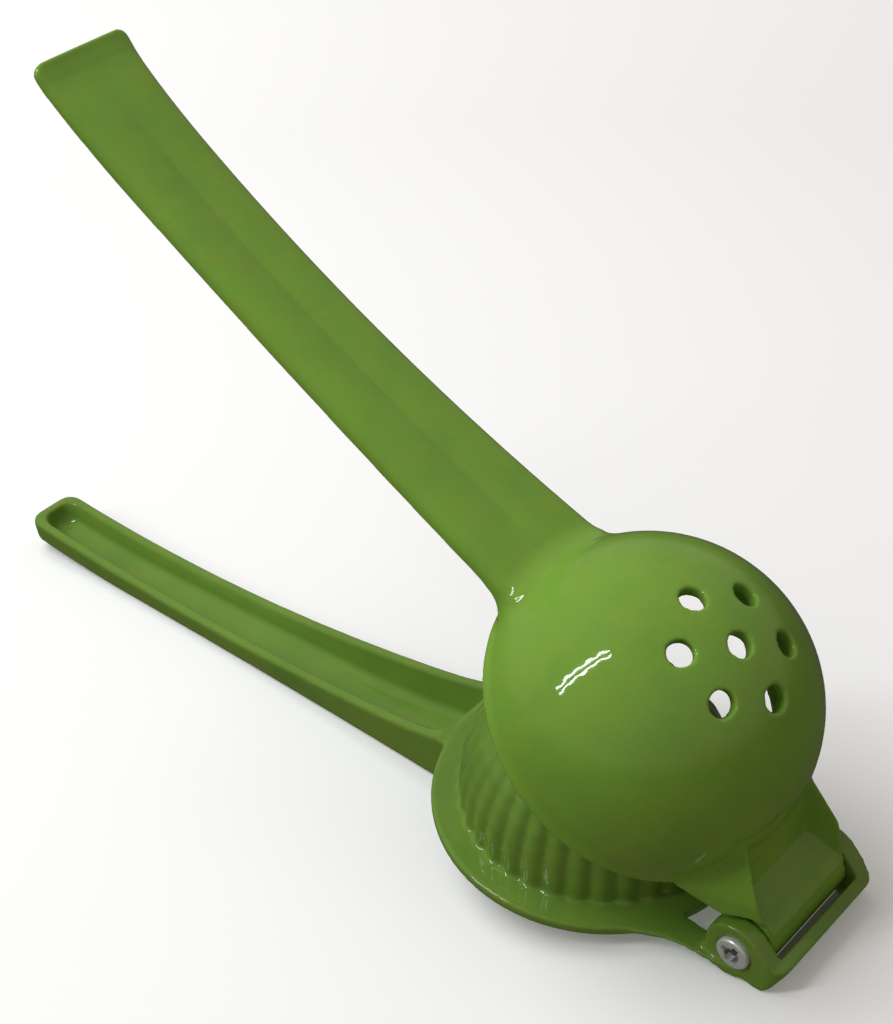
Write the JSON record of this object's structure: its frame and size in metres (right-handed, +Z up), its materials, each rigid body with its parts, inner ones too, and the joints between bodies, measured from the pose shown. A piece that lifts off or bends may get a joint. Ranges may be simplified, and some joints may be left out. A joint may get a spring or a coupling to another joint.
{
  "type": "hinged lemon squeezer",
  "caption": "Hinged hand squeezer for citrus: a perforated strainer bowl and a fluted press dome on two long channel handles, joined by a clevis hinge.",
  "frame": {"origin": "middle of the bounding box's base, on the table under the press handle", "axes": "+X along the handles towards the hinge, +Y along the hinge's axis, +Z up from the table"},
  "size_m": [0.222, 0.0636, 0.1373],
  "materials": {
    "light_enamel": "glossy lime green enamel over cast aluminium",
    "dark_enamel": "glossy lime green enamel over cast aluminium",
    "pivot_steel": "plain steel, slightly worn"
  },
  "bodies": {
    "press": {"press_half": "dark_enamel", "pivot_barrel": "pivot_steel", "pivot_screw": "pivot_steel"},
    "strainer": {"strainer_half": "light_enamel"}
  },
  "joints": [
    {"name": "hinge", "type": "hinge", "parent": "press", "child": "strainer", "pos_m": [0.10143, 0, 0.00665], "axis": [0, 1, 0], "range_deg": [-32.3, 50]}
  ]
}
